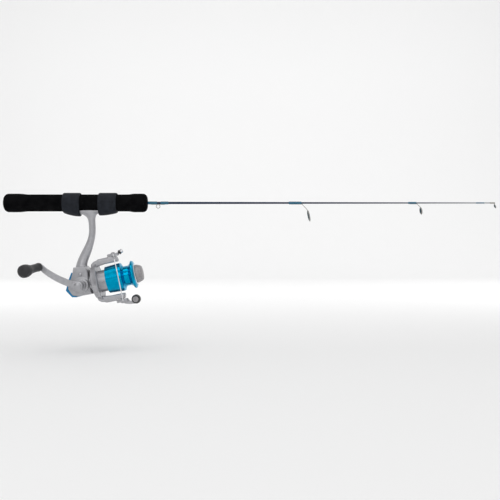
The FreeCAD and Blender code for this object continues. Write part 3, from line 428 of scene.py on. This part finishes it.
def machined(name, colour, roughness, grain):
    """Turned or plated metal with fine tool marks and small stains."""
    finish = Finish(name, colour, roughness, 1.0)
    stains = finish.noise(1.8, 4)
    marks = finish.noise(grain, 3, stretch=(1, 5, 5))
    dull = tuple(part * 0.7 for part in colour)
    finish.colour(finish.ramp(stains, (0.25, dull), (0.65, colour)))
    finish.roughness(finish.ramp(marks, (0.3, roughness * 0.75), (0.8, roughness * 1.4)))
    finish.bump(marks, 0.008)
    return finish.material


def cast_zinc():
    """Die-cast zinc: dull, faintly pitted."""
    finish = Finish("cast_zinc", (0.42, 0.42, 0.43), 0.5, 0.85)
    pits = finish.cells(0.5)
    clouds = finish.noise(2.5, 5)
    finish.colour(finish.ramp(clouds, (0.3, (0.33, 0.33, 0.34)), (0.75, (0.5, 0.5, 0.51))))
    finish.bump(finish.ramp(pits, (0.0, 0.0), (0.3, 1.0)), 0.02)
    return finish.material


def black_plastic():
    """Moulded black plastic with a fine spark-eroded texture."""
    finish = Finish("black_plastic", (0.012, 0.014, 0.014), 0.38, Coat_Weight=0.15)
    grain = finish.noise(0.28, 4)
    clouds = finish.noise(3, 3)
    finish.colour(finish.ramp(clouds, (0.3, (0.009, 0.01, 0.01)), (0.75, (0.02, 0.023, 0.023))))
    finish.roughness(finish.ramp(grain, (0.3, 0.3), (0.75, 0.5)))
    finish.bump(grain, 0.018)
    return finish.material


def knob_rubber():
    """Soft black rubber of the handle's knob."""
    finish = Finish("knob_rubber", (0.008, 0.008, 0.01), 0.5, Sheen_Weight=0.08)
    grain = finish.cells(0.3)
    rubbed = finish.noise(7, 3)
    finish.colour(finish.ramp(rubbed, (0.3, (0.006, 0.006, 0.008)), (0.75, (0.018, 0.018, 0.021))))
    finish.roughness(finish.ramp(rubbed, (0.3, 0.42), (0.7, 0.6)))
    finish.bump(grain, 0.02)
    return finish.material


def felt():
    """Oiled felt washers."""
    finish = Finish("felt", (0.45, 0.4, 0.3), 0.9, Sheen_Weight=0.3)
    fibres = finish.noise(0.2, 6, stretch=(1, 3, 1))
    finish.colour(finish.ramp(fibres, (0.3, (0.33, 0.28, 0.2)), (0.75, (0.55, 0.5, 0.4))))
    finish.bump(fibres, 0.08)
    return finish.material


def nylon():
    """Natural nylon, slightly translucent."""
    finish = Finish("nylon", (0.75, 0.73, 0.68), 0.45, Subsurface_Weight=0.15)
    clouds = finish.noise(2, 3)
    finish.colour(finish.ramp(clouds, (0.3, (0.68, 0.66, 0.6)), (0.75, (0.8, 0.78, 0.74))))
    finish.bump(finish.noise(0.25, 3), 0.01)
    return finish.material


FINISHES = {
    "foam": foam(),
    "band_rubber": band_rubber(),
    "blank_finish": blank_finish(),
    "thread": thread(),
    "wire": wire("wire", (0.4, 0.39, 0.36), 0.34),
    "ring_ceramic": ring_ceramic(),
    "silver_plastic": silver_paint(
        "silver_paint", (0.36, 0.36, 0.38), (0.46, 0.46, 0.48), (0.62, 0.62, 0.64)
    ),
    "blue_cover": blue_paint(),
    "spool_blue": anodised(),
    "drag_grey": drag_grey(),
    "bright_trim": wire("bright_trim", (0.78, 0.78, 0.8), 0.12),
    "screw_steel": machined("screw_steel", (0.45, 0.45, 0.47), 0.3, 0.2),
    "black_plastic": black_plastic(),
    "knob_rubber": knob_rubber(),
    "gear_metal": cast_zinc(),
    "brass": machined("brass", (0.68, 0.5, 0.2), 0.28, 0.2),
    "felt": felt(),
    "nylon": nylon(),
}


def dress_cad_nodes():
    """Gives every CAD node the finish of its material slot in the record."""
    for part in frame["record"]["subparts"]:
        item = NODES[part["node"]]
        item.data.materials.clear()
        item.data.materials.append(FINISHES[part["material_slot"]])


# ---------------------------------------------------------------- rod

GRIP_WAIST = 10.55
GRIP_ROUNDING = 5.5
GRIP_REAR_FLARE = (18, 30)
GRIP_FRONT_FLARE = (153, 161.5)
BAND_WALL = 1.65
BAND_EDGE = 1.3


def grip_foam():
    """The foam grip: one shaped tube with soft ends, slightly pressed in under each band."""
    low, high = box_mm("grip")
    end_radius = (high.z - low.z) / 2
    bands = [box_mm("reel_band_rear"), box_mm("reel_band_front")]

    def radius(x):
        waist = smooth_step(x, *GRIP_REAR_FLARE) - smooth_step(x, *GRIP_FRONT_FLARE)
        value = end_radius - (end_radius - GRIP_WAIST) * waist
        from_end = min(x - low.x, high.x - x)
        if from_end < GRIP_ROUNDING:
            share = 1 - from_end / GRIP_ROUNDING
            value -= GRIP_ROUNDING * (1 - math.sqrt(max(0, 1 - share * share)))
        for start, end in bands:
            value -= 0.12 * (smooth_step(x, start.x, start.x + 3) - smooth_step(x, end.x - 3, end.x))
        return value

    edge_steps = [GRIP_ROUNDING * (1 - math.cos(math.radians(turn))) for turn in range(0, 90, 6)]
    stations = [low.x + step for step in edge_steps]
    stations += spread(low.x + GRIP_ROUNDING, high.x - GRIP_ROUNDING, 210)
    stations += [high.x - step for step in reversed(edge_steps)]
    count = 96
    rings = []
    for face_radius in (0.6, 0.8):
        rings.append([(low.x, face_radius * radius(low.x) * math.cos(a),
                       face_radius * radius(low.x) * math.sin(a)) for a in circle(count)])
    for x in stations:
        ring = []
        for angle in circle(count):
            side = Vector((x, GRIP_WAIST * math.cos(angle), GRIP_WAIST * math.sin(angle)))
            value = radius(x) + 0.035 * noise.noise(side * 0.9) + 0.05 * noise.noise(side * 0.21)
            ring.append((x, value * math.cos(angle), value * math.sin(angle)))
        rings.append(ring)
    front = radius(high.x)
    for face_radius in (0.8, 0.3):
        rings.append([(high.x, face_radius * front * math.cos(a),
                       face_radius * front * math.sin(a)) for a in circle(count)])
    item = add_piece("grip_foam", skin(rings), FINISHES["foam"], "root")
    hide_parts("grip")


def reel_band(name, node, body, rear):
    """A rubber band: a soft sleeve with rounded ends, stretched down over the reel foot."""
    low, high = box_mm(node)
    top = high.z
    length = high.x - low.x
    deep = -low.z
    count = 96

    def depth(x):
        """How far the band hangs below the grip's axis at a place along it."""
        share = (x - low.x) / length if rear else (high.x - x) / length
        return top + (deep - top) * math.sin(min(1, share * 1.08) * math.pi / 2) ** 0.9

    def outline(x, inset):
        ring = []
        for angle in circle(count):
            across = math.cos(angle)
            height = math.sin(angle)
            reach = top if height > 0 else depth(x)
            squareness = 1 if height > 0 else 0.9
            panel = raised_panel(x, angle) if inset < BAND_WALL else 0
            y = (top - inset + panel) * across
            z = (reach - inset + panel) * math.copysign(abs(height) ** squareness, height)
            ring.append((x, y, z))
        return ring

    def raised_panel(x, angle):
        """A low rounded panel moulded on each side of the band."""
        along = abs((x - low.x) / length - 0.5) / 0.34
        around = min(abs(angle - math.radians(200)), abs(angle - math.radians(340))) / math.radians(36)
        edge = (along ** 4 + around ** 4) ** 0.25
        return 0.28 * (1 - smooth_step(edge, 0.86, 1.0))

    turns = [math.radians(step) for step in range(0, 91, 15)]
    rings = [outline(low.x + BAND_EDGE * (1 - math.cos(turn)), BAND_EDGE * (1 - math.sin(turn)) * 0.85)
             for turn in turns]
    rings += [outline(x, 0) for x in spread(low.x + BAND_EDGE, high.x - BAND_EDGE, 44)[1:-1]]
    rings += [outline(high.x - BAND_EDGE * (1 - math.cos(turn)), BAND_EDGE * (1 - math.sin(turn)) * 0.85)
              for turn in reversed(turns)]
    rings += [outline(x, BAND_WALL) for x in spread(high.x, low.x, 24)]
    item = add_piece(name, skin(rings, closed=True), FINISHES["band_rubber"], body)
    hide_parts(node)


THREAD_PITCH = 0.32
FOOT_COVER = 0.62


def thread_wrap(node):
    """A wrap of thread, turn beside turn, on the blank or over a guide's foot, under lacquer."""
    low, high = box_mm(node)
    start_radius = high.z
    turn_count = round((high.x - low.x) / THREAD_PITCH)
    steps = turn_count * 4
    taper = 0.0021
    lump = -low.z - high.z
    foot_drop = -low.z - FOOT_COVER - 0.05 if lump > 0.4 else 0
    rings = []
    for step in range(steps + 1):
        x = low.x + (high.x - low.x) * step / steps
        core = start_radius - 0.06 - taper * (x - low.x)
        near_end = smooth_step(min(x - low.x, high.x - x), 0, 0.7)
        ridge = 0.05 * abs(math.sin(math.pi * step / 4))
        swell = 0.0
        if foot_drop:
            swell = smooth_step(x, low.x + 1.6, low.x + 6)
        ring = []
        for angle in circle(40):
            normal = Vector((0, math.cos(angle), math.sin(angle)))
            own = core * (0.72 + 0.28 * near_end) + ridge
            point = normal * own
            if swell:
                foot = Vector((0, 0, -foot_drop * swell))
                over = foot.dot(normal) + FOOT_COVER + ridge
                if over > own:
                    point = foot + normal * (FOOT_COVER + ridge)
            ring.append((x, point.y, point.z))
        rings.append(ring)
    item = add_piece(node + "_thread", skin(rings), FINISHES["thread"], "root")
    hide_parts(node)


def rod():
    grip_foam()
    reel_band("band_rear", "reel_band_rear", "rear_band", True)
    reel_band("band_front", "reel_band_front", "front_band", False)
    for node in ("keeper_wrap_rear", "keeper_wrap_front", "guide_1_wrap", "guide_2_wrap", "tip_wrap"):
        thread_wrap(node)


# ---------------------------------------------------------------- reel


def reel():
    for node, voxel, keep in (
        ("reel_body", 0.5, 0.4),
        ("rotor", 0.4, 0.4),
        ("handle_arm", 0.35, 0.5),
        ("bail_lever_upper", 0.25, 0.5),
        ("bail_lever_lower", 0.25, 0.5),
        ("rear_cover", 0.35, 0.5),
    ):
        part = next(item for item in frame["record"]["subparts"] if item["node"] == node)
        slot = part["material_slot"]
        moulded(node, voxel, 4, keep, FINISHES[slot], NODES[node]["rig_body"])


# ---------------------------------------------------------------- camera, floor and light


def aim(item, target):
    direction = Vector(target) - item.location
    item.rotation_euler = direction.to_track_quat("-Z", "Y").to_euler()


def add_camera():
    """Level with the middle of the picture and square to the rod, as a catalogue shot is."""
    camera = bpy.data.objects.new("camera", bpy.data.cameras.new("camera"))
    bpy.context.scene.collection.objects.link(camera)
    camera.location = (0.3044, -0.9, -0.0584)
    camera.rotation_euler = (math.radians(90), 0, 0)
    camera.data.sensor_width = 36
    camera.data.lens = 52.2
    camera.data.clip_start = 0.01
    camera.data.clip_end = 50
    bpy.context.scene.camera = camera


def add_light(name, location, target, width, height, power, colour=(1, 1, 1)):
    light = bpy.data.lights.new(name, "AREA")
    light.shape = "RECTANGLE"
    light.size = width
    light.size_y = height
    light.energy = power
    light.color = colour
    item = bpy.data.objects.new(name, light)
    bpy.context.scene.collection.objects.link(item)
    item.location = location
    aim(item, target)


def add_floor():
    """A pale floor that curves up into a backdrop."""
    low, high = CAD_BOX
    level = low.z - 0.06
    bend = 1.2
    far = 2.4
    profile = [(-6.0, level), (far, level)]
    for turn in spread(0, 90, 25):
        angle = math.radians(turn)
        profile.append((far + bend * math.sin(angle), level + bend * (1 - math.cos(angle))))
    profile.append((far + bend, 6.0))
    points = [(side, y, z) for y, z in profile for side in (-8.0, 8.0)]
    faces = [(2 * i, 2 * i + 1, 2 * i + 3, 2 * i + 2) for i in range(len(profile) - 1)]
    mesh = bpy.data.meshes.new("floor")
    mesh.from_pydata(points, [], faces)
    mesh.polygons.foreach_set("use_smooth", [True] * len(faces))
    finish = Finish("floor", (0.9, 0.9, 0.9), 0.9)
    mesh.materials.append(finish.material)
    floor = bpy.data.objects.new("floor", mesh)
    bpy.context.scene.collection.objects.link(floor)


def add_studio():
    world = bpy.data.worlds.new("studio")
    bpy.context.scene.world = world
    world.use_nodes = True
    background = world.node_tree.nodes["Background"]
    background.inputs["Color"].default_value = (1, 1, 1, 1)
    background.inputs["Strength"].default_value = 0.7
    bpy.context.scene.view_settings.view_transform = "Standard"
    middle = (0.3, 0, -0.05)
    add_light("top", (0.3, -0.3, 1.3), middle, 1.8, 0.9, 5)
    add_light("front", (0.1, -1.6, 0.7), middle, 1.2, 0.8, 4)
    add_light("backdrop_left", (-1.0, 0.9, 1.2), (-0.6, 3.0, 0.2), 1.2, 1.2, 14.5)
    add_light("backdrop_right", (1.6, 0.9, 1.2), (1.2, 3.0, 0.2), 1.2, 1.2, 14.5)


dress_cad_nodes()
rod()
reel()
add_camera()
add_floor()
add_studio()
